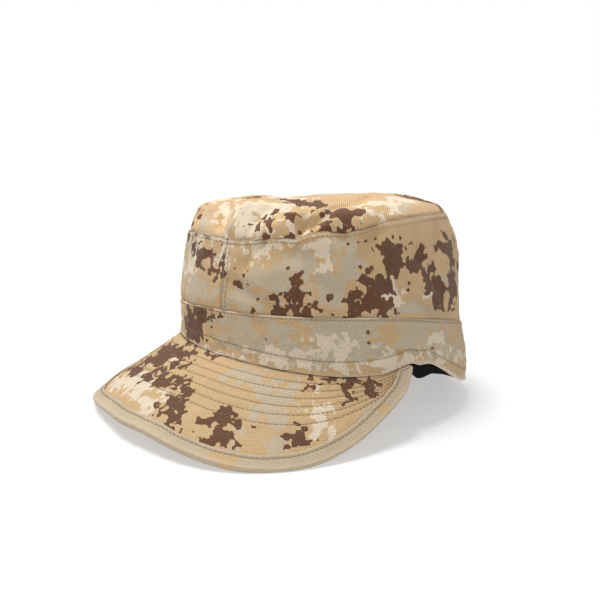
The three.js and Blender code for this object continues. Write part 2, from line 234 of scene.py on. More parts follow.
camo = {
    "sand": paint(200, 169, 127),
    "cream": paint(221, 205, 181),
    "stone": paint(192, 177, 152),
    "earth": paint(104, 71, 50),
    "back": paint(196, 172, 138),
    "slub": paint(236, 216, 188),
    # pale colour of the folded edges: rubbed wear and a painted highlight where the folds catch the light
    "wornAndHighlight": paint(226, 208, 180),
    "edgeSwing": 18.0,    # millimetres of wander for a full swing of the noise
    "edgeRipple": 9.0,
    "edgeSize": 0.0060,
    "rippleSize": 0.0027,
    "soft": 0.18,
    "paleSoft": 0.75,     # the pale colours bleed a little more
    "twillTurn": -45,
    "twillPitch": 0.00125,  # metres, as are the sizes here
    "threadPitch": 0.0011,
    "threadSize": 0.0040,
    "slubShare": 0.42,
    "warpShare": 0.24,
    "fraySize": 0.0011,
    "dyeSize": 0.030,
    # weights of the tone: dye and fray vary the cloth, weave is painted light and shade of the twill, groove
    # is painted shade in sewn grooves, seams and crevices
    "tone": {"dye": 0.20, "fray": 0.66, "weave": 0.10, "groove": 0.5},
    "rubAndHighlightShare": 0.75,
    "threadDepth": 0.00034,
    "slackSize": 0.011,
    "slackDepth": 0.0018,
}


def printedPatch(board, place, name, shift, soft=camo["paleSoft"]):
    # sharp share of one printed colour: the marks with a lobed, uneven edge
    swing = board.cloud(place, camo["edgeSize"], 0, 0.5, shift) * camo["edgeSwing"]
    ripple = board.cloud(place, camo["rippleSize"], 0, 0.5, shift + 4) * camo["edgeRipple"]
    return board.step(board.mark(name) + swing + ripple, -soft, soft)


def camoCloth(name, paintedLight, twillShare=1.0):
    board = Board(name, Specular_IOR_Level=0.25, Sheen_Weight=0.12, Sheen_Roughness=0.5)
    place = board.clothPlace()
    colour = board.blend(printedPatch(board, place, "stone", 1.3), camo["sand"], camo["stone"])
    colour = board.blend(printedPatch(board, place, "cream", 7.1), colour, camo["cream"])
    dots = board.step(board.mark("dots") + board.cloud(place, 0.002, 1) * 1.6, -0.1, 0.2)
    dark = dots.work("MAXIMUM", printedPatch(board, place, "earth", 3.7, camo["soft"]), dots)
    colour = board.blend(dark, colour, camo["earth"])
    colour = board.blend(board.mark("inside"), colour, camo["back"])
    # slubs: short pale threads that lie across the cloth, and darker ones up it
    slub = board.cloud(board.turned(place, 0, (1, 5, 1)), camo["threadSize"], 2, 0.6)
    colour = board.blend(board.step(slub, 0.11, 0.22) * camo["slubShare"], colour, camo["slub"])
    warp = board.cloud(board.turned(place, 0, (5, 1, 1)), camo["threadSize"], 2, 0.6, 2.0)
    colour = board.blend(board.step(warp, 0.10, 0.25) * camo["warpShare"], colour, camo["earth"])
    # uneven dye, the painted light and shade of the weave, painted shade in sewn grooves, seams and crevices,
    # and painted light that makes the whole piece lighter or darker
    twill = board.lines(board.turned(place, camo["twillTurn"]), camo["twillPitch"]) - 0.5
    across = board.lines(place, camo["threadPitch"]) - 0.5
    along = board.lines(place, camo["threadPitch"], "Y") - 0.5
    weave = twill * twillShare + (across + along) * (0.66 - twillShare * 0.5)
    fray = board.cloud(place, camo["fraySize"], 2, 0.7)
    depth = camo["tone"]
    tone = board.cloud(place, camo["dyeSize"], 4, 0.6) * depth["dye"]
    tone = tone + fray * depth["fray"] + weave * depth["weave"]
    colour = board.shaded(colour, tone + (1.0 + paintedLight) - board.mark("groove") * depth["groove"])
    # pale along folded edges and seams: partly rubbed wear, partly a painted highlight where the folded edges
    # catch the light
    rubAndHighlight = board.step(board.mark("wear") + board.cloud(place, 0.002, 3, 0.7) * 0.7, 0.25, 0.95)
    board.set("Base Color", board.blend(rubAndHighlight * camo["rubAndHighlightShare"], colour, camo["wornAndHighlight"]))
    board.set("Roughness", 0.86 + weave * 0.08)
    cloth = board.bump(weave + slub * 1.2 + fray * 1.2, camo["threadDepth"], 0.9)
    slack = board.cloud(place, camo["slackSize"], 2, 0.5)
    board.set("Normal", board.bump(slack, camo["slackDepth"], 0.6, cloth))
    return board.material


tapeFinish = {
    "base": paint(189, 173, 147),
    "shade": paint(158, 136, 106),
    "patch": paint(200, 168, 124),
    "pitch": 0.0012,
}


def twillTape(name):
    board = Board(name, Specular_IOR_Level=0.3, Sheen_Weight=0.15, Sheen_Roughness=0.45)
    place = board.clothPlace()
    twill = board.lines(board.turned(place, -40), tapeFinish["pitch"])
    patched = board.step(board.mark("patch") + board.cloud(place, 0.007, 0) * 10, -0.3, 0.4)
    colour = board.blend(patched, tapeFinish["base"], tapeFinish["patch"])
    fray = board.cloud(place, camo["fraySize"], 2, 0.7)
    ribs = board.step(twill + fray * 1.4, 0.9, 0.1)
    colour = board.blend(ribs * 0.26, colour, tapeFinish["shade"])
    # the groove mark is painted shade along the sewn row
    tone = board.cloud(place, 0.02, 3) * 0.22 + fray * 0.4 + 1.0 - board.mark("groove") * 0.4
    colour = board.shaded(colour, tone)
    # pale edges: partly rubbed wear, partly a painted highlight on the fold
    board.set("Base Color", board.blend(board.mark("wear") * 0.4, colour, camo["wornAndHighlight"]))
    board.set("Roughness", 0.8 + twill * 0.1)
    board.set("Normal", board.bump(twill * 0.6 + board.cloud(place, 0.004, 3) * 1.6, 0.0004, 0.8))
    return board.material


darkFinish = {"base": paint(9, 8, 8), "lint": paint(46, 40, 36), "pitch": 0.0012}


def darkTwill(name):
    board = Board(name, Specular_IOR_Level=0.15)
    place = board.clothPlace()
    ribs = board.lines(board.turned(place, 45), darkFinish["pitch"])
    lint = board.step(board.cloud(place, 0.0016, 4, 0.7), 0.14, 0.3)
    colour = board.blend(lint * 0.35, darkFinish["base"], darkFinish["lint"])
    board.set("Base Color", board.blend(ribs * 0.25, colour, darkFinish["lint"]))
    board.set("Roughness", 0.9 + lint * 0.08)
    board.set("Normal", board.bump(ribs + lint, 0.00025, 0.7))
    return board.material


threadFinish = {"base": paint(158, 132, 98), "shade": paint(100, 80, 58), "white": paint(238, 235, 226)}


def sewingThread(name, base):
    board = Board(name, Specular_IOR_Level=0.4, Sheen_Weight=0.1)
    place = board.solidPlace()
    twist = board.cloud(place, 0.0006, 2, 0.6)
    board.set("Base Color", board.blend(board.step(twist, -0.1, 0.25) * 0.6, base, threadFinish["shade"]))
    board.set("Roughness", 0.62 + twist * 0.2)
    board.set("Normal", board.bump(twist, 0.00015, 0.8))
    return board.material


floorFinish = {
    "base": (0.47, 0.47, 0.47, 1),
    "deep": (0.46, 0.46, 0.46, 1),
    "glow": 0.46,
    "radius": 12.0,
    "segments": 96,
}


def paleFloor(name):
    # painted light: the floor glows a little, which lightens the cap's shadow on it and lights the underside
    # of the peak
    glowing = {"Emission_Color": (1, 1, 1, 1), "Emission_Strength": floorFinish["glow"]}
    board = Board(name, Specular_IOR_Level=0.1, **glowing)
    drift = board.cloud(board.solidPlace(), 0.4, 2)
    colour = board.blend(board.step(drift, -0.3, 0.3), floorFinish["deep"], floorFinish["base"])
    board.set("Base Color", colour)
    board.set("Roughness", 0.9 + drift * 0.05)
    return board.material


# lit and shaded copies of one printed cloth: the second number is painted light, so the top panel is lighter
# as the light from above falls on it and the peak a little darker
finishes = {
    "crown": camoCloth("printedTwillCrown", 0.05),
    "top": camoCloth("printedTwillTop", 0.25),
    "band": camoCloth("printedTwillBand", 0.05),
    "peak": camoCloth("printedTwillPeak", -0.02, 0.35),
    "tape": twillTape("herringTape"),
    "sweat": darkTwill("blackTwill"),
    "thread": sewingThread("paleThread", threadFinish["base"]),
    "whiteThread": sewingThread("whiteThread", threadFinish["white"]),
    "floor": paleFloor("paleFloor"),
}
print("finishes made:", len(finishes))


# the form of the cap

cap = {
    "halfLength": 100.2,
    "halfWidth": 90.0,
    "round": 1.66,        # millimetres of cloth in one degree round the head
    "leanTo": 42,
    "lean": (-1, 3, 10, 50),
    "crownWall": 1.5,
    "bandWall": 1.8,
    "sweatWall": 1.4,
    "gap": 0.3,
    "frontSeam": 5,
    "profile": [          # height, scale of the head oval
        (-12, 0.995), (6, 1.004), (18, 1.0), (30, 0.994), (42, 0.986), (50, 0.983), (61, 0.975),
        (71, 0.966), (80, 0.952), (88, 0.931), (95.5, 0.902), (102, 0.858), (106.5, 0.80), (109.5, 0.70),
        (113.4, 0.50), (115.1, 0.25), (115.6, 0.0),
    ],
    "topSeam": [          # angle, height
        (-150, 101), (-110, 97), (-75, 91), (-45, 87.5), (-25, 88.1), (-8, 87.4), (5, 86), (13, 85.7),
        (20, 87.2), (28, 88.4), (33.5, 88), (38.5, 91.2), (44, 92.8), (51, 92.7), (58, 94.6), (64.5, 97.2),
        (74, 99.4), (88, 101.1), (114, 102.7), (145, 102), (180, 101.5),
    ],
    "bandTop": [
        (-160, 31.5), (-125, 34), (-90, 39), (-50, 43), (-8, 45.1), (21, 44.6), (57, 44.8), (73, 44.2),
        (93, 40.8), (132, 33), (160, 31.5),
    ],
    "rearHem": [
        (-165, -6), (-148, -5), (-132, -4.6), (-118, -2.5), (-104, 4), (-94, 12), (-86, 18.5), (-78, 20),
        (78, 15.2), (86, 15.2), (93.4, 10.2), (102.3, 3.2), (114, -3.0), (132, -6.6), (148, -8.6),
        (165, -8.6), (180, -7.3),
    ],
    "sweatHang": [
        (-120, -1.5), (-98, 5), (-88, 8.5), (-78, 6), (-66, 0), (0, -1), (66, 0), (76, 5.5), (83, 9),
        (90, 5), (102, 0), (120, -1.5), (180, -1.5),
    ],
    "dents": [            # angle, height, depth inward, half widths round and up
        (33, 97, 2.6, 7, 7), (36, 79, 2.2, 9, 6), (22, 92, -1.4, 8, 5), (53, 101, -2.2, 11, 6),
        (-3, 98, 2.0, 12, 6), (-20, 70, 1.2, 14, 9), (75, 72, 1.6, 15, 12), (-100, 76, 1.8, 16, 12),
        (150, 78, 1.4, 18, 12), (-150, 70, 2.0, 16, 10), (95, 58, -1.0, 20, 8), (128, 7, -2.0, 30, 18),
        (-62, 111, 3.2, 48, 6), (-48, 62, 1.3, 22, 30), (130, 88, -1.8, 26, 18), (-44, 104, -2.0, 24, 6),
    ],
    "swellTurn": 42.7,    # which way the sag of the dome runs
    "swellHeights": (92, 110),
    "swell": [            # millimetres across, rise
        (-110, 0), (-70, 0.4), (-48, 0), (-25, -2.4), (0, -1.0), (30, 1.8), (62, 4.0), (85, 4.2), (110, 3),
    ],
}


def mix(a, b, t):
    return a + (b - a) * t


def clamp(value, low=0.0, high=1.0):
    return min(high, max(low, value))


def ease(low, high, value):
    t = clamp((value - low) / (high - low))
    return t * t * (3 - 2 * t)


def bell(distance, width):
    return exp(-(distance / width) ** 2)


def turnBetween(a, b):
    return (a - b + 180) % 360 - 180


def between(rows, at):
    # value of a table with rows of place and value, straight from row to row
    after = min(max(bisect_left(rows, (at,)), 1), len(rows) - 1)
    (start, low), (end, high) = rows[after - 1], rows[after]
    return mix(low, high, clamp((at - start) / (end - start)))


@lru_cache(maxsize=None)
def closedRows(table):
    return [(angle + turn, value) for turn in (-360, 0, 360) for angle, value in cap[table]]


@lru_cache(maxsize=None)
def around(table, angle):
    # smooth value of one of the cap's tables, closed round the head
    rows = closedRows(table)
    angle -= 360 * floor((angle - cap[table][0][0]) / 360)
    index = bisect_left(rows, (angle, inf))
    before, start, end, after = rows[index - 2:index + 2]
    width = end[0] - start[0]
    startSlope = (end[1] - before[1]) / (end[0] - before[0])
    endSlope = (after[1] - start[1]) / (after[0] - start[0])
    t = (angle - start[0]) / width
    square, cube = t * t, t * t * t
    return (start[1] * (2 * cube - 3 * square + 1) + startSlope * width * (cube - 2 * square + t)
            + end[1] * (3 * square - 2 * cube) + endSlope * width * (cube - square))


@lru_cache(maxsize=200000)
def ovalScale(height):
    return between(cap["profile"], height)


def dentDepth(angle, height):
    depth = 0
    for at, level, deep, spread, tall in cap["dents"]:
        depth += deep * bell(turnBetween(angle, at), spread) * bell(height - level, tall)
    return depth


leanSide, leanFront = cos(radians(cap["leanTo"])), sin(radians(cap["leanTo"]))
swellX, swellY = cos(radians(cap["swellTurn"])), sin(radians(cap["swellTurn"]))


def swell(x, y, height):
    # slack cloth: the dome sags at the front and stands up at the back left
    share = ease(*cap["swellHeights"], height)
    if share == 0:
        return 0
    across, rows = x * swellX + y * swellY, cap["swell"]
    for (start, low), (end, high) in zip(rows, rows[1:]):
        if across < end:
            return share * mix(low, high, ease(start, end, across))
    return share * rows[-1][1]


def bodyPoint(angle, height, inward, size=None):
    size = ovalScale(height) if size is None else size
    start, end, low, high = cap["lean"]
    shift = mix(start, end, clamp((height - low) / (high - low)))
    side, front = sin(radians(angle)), cos(radians(angle))
    x = (size * cap["halfWidth"] - inward) * side - shift * leanSide
    y = -(size * cap["halfLength"] - inward) * front - shift * leanFront
    return Vector((x, y, height + swell(x, y, height)))


# the peak is a flat board rolled about a line that runs forward and down;
# s runs across it and g forward along it, both measured flat

peak = {
    "pitch": 30.0,
    "roll": 140,
    "twist": 4.44,
    "rootHeight": 17.7,
    "length": 66.5,
    "halfWidths": (103.4, 106.3),
    "rearReach": -40.7,
    "squareness": (2.67, 2.65),
    "swing": ((-4.6, 47.7, 34.3), (2.4, 57.6, 41.5)),  # how far each side's edge stands out, where, width
    "swingFade": 30,
    "edgeSteps": 400,
    "frontShare": 0.8,    # the rest of the steps run back along the side to the root
    "flatLimit": 196,
    "endAngle": 76.8,
    "thickness": 2.2,
    "rootScale": 0.993,
    "span": 0.98,
    "drop": (16.2, 23, -74, -41, -88),  # depth, from and to along g, from and to along s
    "sewnRows": [0.11, 0.20, 0.29, 0.38, 0.47, 0.57],
    "groove": 0.2,
    "rootSteps": 4000,
    "backShift": 300,
}


def sheetPoint(s, g, lift):
    depth, gFrom, gTo, sFrom, sTo = peak["drop"]
    drop = depth * ease(-gFrom, -gTo, -g) * ease(-sFrom, -sTo, -s)
    roll, twist, pitch = s / peak["roll"], radians(peak["twist"]), radians(peak["pitch"])
    across = (peak["roll"] + lift) * sin(roll)
    rise = (peak["roll"] + lift) * cos(roll) - peak["roll"]
    h = rise * cos(twist) - across * sin(twist)
    y = -cap["halfLength"] - g * cos(pitch) - h * sin(pitch)
    z = peak["rootHeight"] - g * sin(pitch) + h * cos(pitch) - drop
    return Vector((across * cos(twist) + rise * sin(twist), y, z))


def sheetPlace(x, y):
    # flat place on the board above or below a plan position
    s, g = x, 0.0
    for _ in range(12):
        here, alongS, alongG = sheetPoint(s, g, 0), sheetPoint(s + 0.1, g, 0), sheetPoint(s, g + 0.1, 0)
        sx, sy = (alongS.x - here.x) * 10, (alongS.y - here.y) * 10
        gx, gy = (alongG.x - here.x) * 10, (alongG.y - here.y) * 10
        whole = sx * gy - gx * sy
        missX, missY = x - here.x, y - here.y
        s = clamp(s + (missX * gy - gx * missY) / whole, -peak["flatLimit"], peak["flatLimit"])
        g += (sx * missY - missX * sy) / whole
    return s, g


def rootPlace(angle, scale):
    x = scale * cap["halfWidth"] * sin(radians(angle))
    y = -scale * cap["halfLength"] * cos(radians(angle))
    return sheetPlace(x, y)


def edgeTable(side):
    # outer edge of the flat board from its middle to one end, with its length so far
    which = 0 if side < 0 else 1
    half, power = peak["halfWidths"][which], 2 / peak["squareness"][which]
    endS, endG = rootPlace(side * peak["endAngle"], 1)
    rear, reach = peak["rearReach"], peak["length"] - peak["rearReach"]
    swing, swingAt, swingWide = peak["swing"][which]
    front, fade = peak["frontShare"], peak["swingFade"]
    rows, length, last = [], 0, None
    for step in range(peak["edgeSteps"] + 1):
        share = step / peak["edgeSteps"]
        if share < front:
            bend = share / front * pi / 2
            s, g = side * half * sin(bend) ** power, rear + reach * max(cos(bend), 0) ** power
        else:
            t = (share - front) / (1 - front)
            s, g = mix(side * half, endS, t * t), mix(rear, endG, t)
        g += swing * bell(abs(s) - swingAt, swingWide) * clamp((g - rear) / fade) * ease(0, fade, abs(s))
        length += hypot(s - last[0], g - last[1]) if last else 0
        last = s, g
        rows.append((length, s, g))
    return rows


edges = {-1: edgeTable(-1), 1: edgeTable(1)}


def edgePlace(t):
    # t runs from -1 at the wearer's right end to 1 at the left end
    rows = edges[-1 if t < 0 else 1]
    wanted = min(abs(t), 1) * rows[-1][0]
    after = max(bisect_left(rows, (wanted,)), 1)
    (start, s, g), (end, nextS, nextG) = rows[after - 1], rows[after]
    share = (wanted - start) / (end - start)
    return mix(s, nextS, share), mix(g, nextG, share)


def edgeInward(t):
    before, after = edgePlace(t - 0.01), edgePlace(t + 0.01)
    ds, dg = after[0] - before[0], after[1] - before[1]
    return dg / hypot(ds, dg), -ds / hypot(ds, dg)


hemBlend = (peak["endAngle"] - 1, peak["endAngle"] + 4)


def hemAt(angle):
    # the hem lies on the peak in front, and follows its own table behind
    behind = around("rearHem", angle)
    if abs(angle) > hemBlend[1]:
        return behind
    spot = bodyPoint(angle, 15, 0, 1)
    s, g = sheetPlace(spot.x, spot.y)
    over = sheetPoint(s, g, peak["thickness"] / 2).z + cap["gap"] * 1.4
    return mix(over, behind, ease(*hemBlend, abs(angle)))


hemSteps = 720
hemRows = [(360 * k / hemSteps, hemAt(turnBetween(360 * k / hemSteps, 0))) for k in range(hemSteps + 1)]


@lru_cache(maxsize=None)
def hemHeight(angle):
    return between(hemRows, angle % 360)


def ripple(x, y, size, seed):
    return noise.noise(Vector((x / size, y / size, seed)))


# where the printed patches lie: x, y, half sizes and turn on the flat cloth

def patch(rows, x, y, wrap=0.0, soft=1.5):
    # about how many millimetres a spot lies inside the patches, which run together where they meet
    total = 0.0
    for row in rows:
        dx, dy = x - row[0], y - row[1]
        if wrap:
            dx -= wrap * round(dx / wrap)
        reach = max(row[2], row[3]) * 2 + 8
        if abs(dx) > reach or abs(dy) > reach:
            continue
        turn = radians(row[4]) if len(row) > 4 else 0
        across = (dx * cos(turn) + dy * sin(turn)) / row[2]
        up = (dy * cos(turn) - dx * sin(turn)) / row[3]
        total += exp((1 - hypot(across, up)) * min(row[2], row[3]) / soft)
    return clamp(soft * log(total), -8, 8) if total > 0 else -8.0


def scatter(seed, count, xRange, yRange, sizes, keep=lambda x, y: True):
    # patches for the sides that can't be seen, each a chain of two or three blobs
    dice = random.Random(seed)
    rows = []
    for _ in range(count):
        x, y = dice.uniform(*xRange), dice.uniform(*yRange)
        size, turn = dice.uniform(*sizes), dice.uniform(-25, 25)
        if not keep(x, y):
            continue
        for _ in range(dice.choice((2, 3))):
            rows.append((x, y, size, size * dice.uniform(0.35, 0.7), turn + dice.uniform(-15, 15)))
            x += dice.uniform(-1.2, 1.2) * size
            y += dice.uniform(-0.6, 0.6) * size
            size *= dice.uniform(0.55, 0.95)
    return rows


def rounded(rows):
    # rows kept by angle become rows in millimetres round the head
    return [(row[0] * cap["round"], *row[1:]) for row in rows]


def farSide(x, y):
    return x * 0.67 - y * 0.74 < 12


girth = 360 * cap["round"]
farX = (124 * cap["round"], 342 * cap["round"])

printed = {
    "crown": {
        "earth": rounded([
            (-9, 76, 13.5, 5.2, 2), (2, 67.5, 8.2, 4.8, 2), (35, 59.5, 4.6, 7, 0), (34, 49, 13.5, 4.3, 3),
            (61, 52, 18, 6.8, -1), (64, 63.5, 14, 7.4, 4), (70.5, 78.5, 10.8, 9.6, 1),
            (82, 77.5, 8.6, 8.2, 17), (89, 68.5, 8.6, 6.2, -38), (94, 56, 8.4, 8.2, -34),
            (107, 82.5, 14, 9.4, 7), (107, 59, 11, 9.4, -17), (128, 70, 16, 8, 10),
            (12.5, 63.5, 2.5, 2.2, 0),
        ]) + scatter(11, 19, farX, (44, 98), (7, 15)),
        "dots": rounded([
            (53, 86.5, 1.6, 1.0), (56.5, 87.6, 1.4, 0.8), (60, 88.2, 1.8, 0.9), (64, 89.5, 1.2, 0.9),
            (31.5, 72, 1.3, 1.2), (36, 68, 1.1, 1.0), (39.5, 52, 1.2, 1.1), (41.5, 52, 1.2, 1.1),
            (78, 60, 1.3, 1.2), (71, 91, 1.2, 1.5), (14.5, 66, 0.9, 1.4), (10.5, 62, 1.3, 0.9),
            (16.5, 61, 1.0, 0.9),
        ]),
        "stone": rounded([
            (-14, 55.5, 18.5, 8.5, 4), (18, 64.5, 8, 5, 3), (15.5, 53, 13.5, 5, 5), (35.5, 74, 7.2, 11),
            (46, 61, 10.5, 12.5), (54, 75, 8.2, 9.4), (75.5, 49, 15, 3.6, -3), (29, 65.5, 6, 10),
            (51, 84.5, 7.4, 3.3, 2), (111.5, 63.5, 20, 5, -3),
        ]) + scatter(12, 32, farX, (44, 98), (9, 18)),
        "cream": rounded([
            (44.5, 74, 4.4, 5.6), (42, 82, 5.3, 4.5), (18.5, 81.5, 3.8, 6.4), (4, 74.5, 6, 4.9, -13),
            (-4, 84.5, 17, 2.8, 3), (72, 56.5, 7.2, 6.9), (87, 61.5, 3.6, 5.2), (29.5, 84.5, 9.8, 1.6),
        ]) + scatter(13, 24, farX, (44, 98), (7, 14)),
    },
    "band": {
        "earth": rounded([(-9, 41, 15, 4.8, 8), (-13, 29.5, 13, 7, 12)])
        + scatter(21, 10, farX, (-4, 38), (6, 13)),
        "dots": rounded([(60, 36.5, 1.3, 1.6), (60, 30.5, 1.1, 1.1), (88.5, 24, 1.9, 1.0)]),
        "stone": rounded([(50, 34, 78, 17), (104, 26, 30, 12)]) + scatter(22, 24, farX, (-4, 40), (9, 19)),
        "cream": rounded([
            (49.5, 28.5, 12.5, 4.9), (22, 23, 8, 2), (34.5, 23, 6, 2), (91, 29.5, 9, 4.8, -6),
            (46, 18, 50, 3, 1), (85, 18.5, 31, 2.4, -6),
        ])
        + scatter(23, 17, farX, (-4, 38), (6, 14)),
        "sand": rounded([
            (21, 38.5, 3.2, 5), (31, 40, 4.8, 2), (37.5, 35, 7.7, 4.2), (68, 34.5, 8.4, 6.9, -7),
            (107.5, 31, 17, 6.3, -6), (59.5, 19, 4.4, 4.2), (72, 22.5, 8.3, 3.1, -4),
        ]),
    },
    "top": {
        "earth": [
            (28.5, -87, 4, 3, 20), (33, -80, 6, 1.5, 35), (61, -56.5, 13.5, 4.4, 56), (33, -57, 18, 6, -3),
            (43, 31.5, 9.6, 5, 26), (-9, -66, 8, 3, 0), (-41, -79, 3.4, 2.6, 0),
        ] + scatter(31, 13, (-80, 80), (-85, 85), (8, 15), farSide),
        "stone": [
            (18, -88.5, 8.6, 3.4, 5), (-15.5, -91, 13, 3, -10), (53, -57, 7.3, 6.3, 0), (65, -3, 5, 17, 15),
            (20, -20, 14, 9, 30),
        ]
        + scatter(32, 26, (-80, 80), (-85, 85), (9, 19), farSide),
        "cream": [
            (18.5, -79.5, 14.5, 7, 12), (37.5, -80.5, 6, 2.5, 38), (63, -27, 6, 18.5, 0),
            (13, -90, 6.4, 2.7, -3), (10, -50, 14, 10, 10), (-12, -80, 9, 5, -10), (-30, -72, 9, 6, -25),
            (55, 5, 8, 14, 10), (28, -68, 8, 4, 20),
        ] + scatter(33, 14, (-80, 80), (-85, 85), (8, 15), farSide),
    },
    "peak": {
        "earth": [
            (-34, 5, 24, 8, 12), (-42, 16, 18, 5, 14), (-52.5, 24.5, 18, 4, 16), (-16, 28.5, 12, 6, 17),
            (4, 30.5, 7.7, 5, 15), (10.5, 44.5, 8, 5.4, -7), (18.5, 54, 6, 4.4, 21), (41, 38.5, 6, 5, 38),
            (50, 36, 4.6, 3, -38), (50, 47.5, 7.7, 6.3, -34), (35, 45, 1.9, 1.4, 40),
            (75.5, 20, 2.5, 2, -54), (81, 22, 4.7, 2.7, -48), (68, -19.5, 6.5, 2.3, -44),
            (80, -22.5, 5, 3.4, 64), (84.5, -40, 6, 2, -66), (90, -35, 4.6, 3.3, -61),
            (-5, 2, 5.7, 2.5, -11),
        ],
        "dots": [
            (88, -22, 1.5, 1.2), (95.8, 4.6, 1.3, 1.1), (35, 45, 1.8, 1.4), (73, 24, 1.2, 1.5),
            (66, -27, 1.4, 1.0),
        ],
        "stone": [
            (30.5, 7.5, 11, 6.7, -29), (45, 8, 6.6, 5.3, -36), (59, 0.5, 8.2, 3.7, 54),
            (59.5, 16, 9.2, 5.4, 53), (54, 24, 4.8, 4, 54), (70, 27, 11.5, 4.6, 52),
            (58.5, 45.5, 6, 2.4, 50), (62.5, 7, 4.4, 3.9, -57), (-80, -25, 9, 12, 20), (98, -22, 3, 12, 0),
        ],
        "cream": [
            (-38, 36.5, 29, 9, 10), (-6.5, 50.5, 8.4, 5, 14), (77.5, 1, 12, 4.2, 54),
            (89, 2.5, 5.6, 2.6, 56), (-28.5, 15, 9.9, 4, 18), (-72, 5, 8, 12, 10),
        ],
    },
    "underPeak": {
        "earth": scatter(41, 12, (-95, 95), (-60, 60), (7, 16)),
        "stone": scatter(42, 11, (-95, 95), (-60, 60), (8, 18)),
        "cream": scatter(43, 8, (-95, 95), (-60, 60), (6, 14)),
    },
    "tape": [(59, 57, 6.3, 4, -26), (103.5, -28.5, 3, 5, 0)],
}


def printMarks(name, x, y, wrap=0.0):
    rows = printed[name]
    marks = {key: patch(rows[key], x, y, wrap) for key in ("earth", "stone", "cream")}
    marks["dots"] = patch(rows.get("dots", ()), x, y, wrap, 0.4)
    if "sand" in rows:
        marks["stone"] = min(marks["stone"], -patch(rows["sand"], x, y, wrap))
    return marks


# grids bent into cloth: place(u, share, depth, fold) gives the point,
# the flat place in millimetres and the marks for one spot of a station

def section(plan):
    # stations of a closed wall: share of the height, share of the wall, lift of the fold
    faceRows, backRows = plan["faceRows"], plan["backRows"]
    folds = [pi * k / plan["foldRows"] for k in range(1, plan["foldRows"])]
    stations = [(k / faceRows, 0.0, 0.0) for k in range(faceRows + 1)]
    stations += [(1.0, (1 - cos(bend)) / 2, sin(bend)) for bend in folds]
    stations += [(1 - k / backRows, 1.0, 0.0) for k in range(backRows + 1)]
    stations += [(0.0, (1 + cos(bend)) / 2, -sin(bend)) for bend in folds]
    return stations + [stations[0]]


def wallHeight(low, high, wall, share, fold):
    return mix(low + wall / 2, high - wall / 2, share) + fold * wall / 2


printedMarks = ("earth", "stone", "cream", "dots", "inside", "wear", "groove")


def bendGrid(name, plan, place, finish, joined, marks=printedMarks):
    bm = bmesh.new()
    rows = len(plan["stations"]) - 1
    bmesh.ops.create_grid(bm, x_segments=plan["columns"], y_segments=rows, size=0.5)
    flat = bm.loops.layers.uv.new("cloth")
    layers = {mark: bm.verts.layers.float.new(mark) for mark in marks}
    for vert in bm.verts:
        station = plan["stations"][round((vert.co.y + 0.5) * rows)]
        point, cloth, values = place(vert.co.x + 0.5, *station)
        for mark in marks:
            vert[layers[mark]] = values.get(mark, 0.0)
        for loop in vert.link_loops:
            loop[flat].uv = (cloth[0] / 1000, cloth[1] / 1000)
        vert.co = rest(point)
    bmesh.ops.remove_doubles(bm, verts=bm.verts, dist=2e-6)
    if not joined:
        rims = [edge for edge in bm.edges if edge.is_boundary]
        bmesh.ops.holes_fill(bm, edges=rims, sides=0)
    bmesh.ops.recalc_face_normals(bm, faces=bm.faces)
    return finishPiece(name, bm, finish)


def finishPiece(name, bm, finish):
    for vert in bm.verts:
        vert.co.z = max(vert.co.z, 0)
    mesh = bpy.data.meshes.new(name)
    bm.to_mesh(mesh)
    bm.free()
    mesh.shade_smooth()
    mesh.materials.append(finishes[finish])
    piece = bpy.data.objects.new(name, mesh)
    bpy.context.scene.collection.objects.link(piece)
    return piece


# side panels of the crown

sides = {
    "tuck": 6.0,
    "faceRows": 48,
    "foldRows": 4,
    "backRows": 8,
    "columns": 236,
    "seamFold": 4.2,      # width of the folded cloth beside a seam
    "seamLift": 0.45,
    "seamRise": 0.4,      # the folded edge stands a little above the top panel's rim
    "topRow": 2.4,        # the sewn rows, in from their seams
    "seamRows": (1.0, 3.3),
    "ripples": 1.5,
    "backShift": 300,     # so that the wall's back has another part of the print
    "creases": [          # angle and height at both ends, depth and half width in millimetres
        (33.5, 90, 34, 80, 3.0, 3.2), (34, 80, 38, 70, 2.0, 4.5), (42, 89, 50, 84, -1.8, 4.5),
        (-9, 88, -5, 76, 2.4, 3.8), (20, 86, 15, 72, 1.7, 4.2), (64, 93, 58, 78, 1.9, 5.0),
        (8, 62, 26, 50, 1.7, 4.0), (84, 80, 96, 60, 1.8, 5.5), (-60, 80, -48, 60, 1.6, 5.0),
        (40, 66, 58, 56, 1.6, 5.0), (72, 62, 90, 50, 1.4, 4.5), (100, 92, 92, 76, 1.8, 5.5),
        (-118, 88, -104, 62, 0.9, 6.0), (170, 84, 150, 60, 0.9, 6.0), (120, 90, 132, 70, 0.8, 5.0),
    ],
}


def creaseDepth(creases, x, y, scale=1):
    # the deepest valley and the highest ridge at a spot, so that joined folds don't add up
    deepest = highest = 0
    for startX, startY, endX, endY, deep, wide in creases:
        startX, runX, runY = startX * scale, (endX - startX) * scale, endY - startY
        share = clamp(((x - startX) * runX + (y - startY) * runY) / (runX ** 2 + runY ** 2))
        depth = deep * bell(hypot(x - startX - share * runX, y - startY - share * runY), wide)
        deepest, highest = max(deepest, depth), min(highest, depth)
    return deepest + highest


sides["stations"] = section(sides)


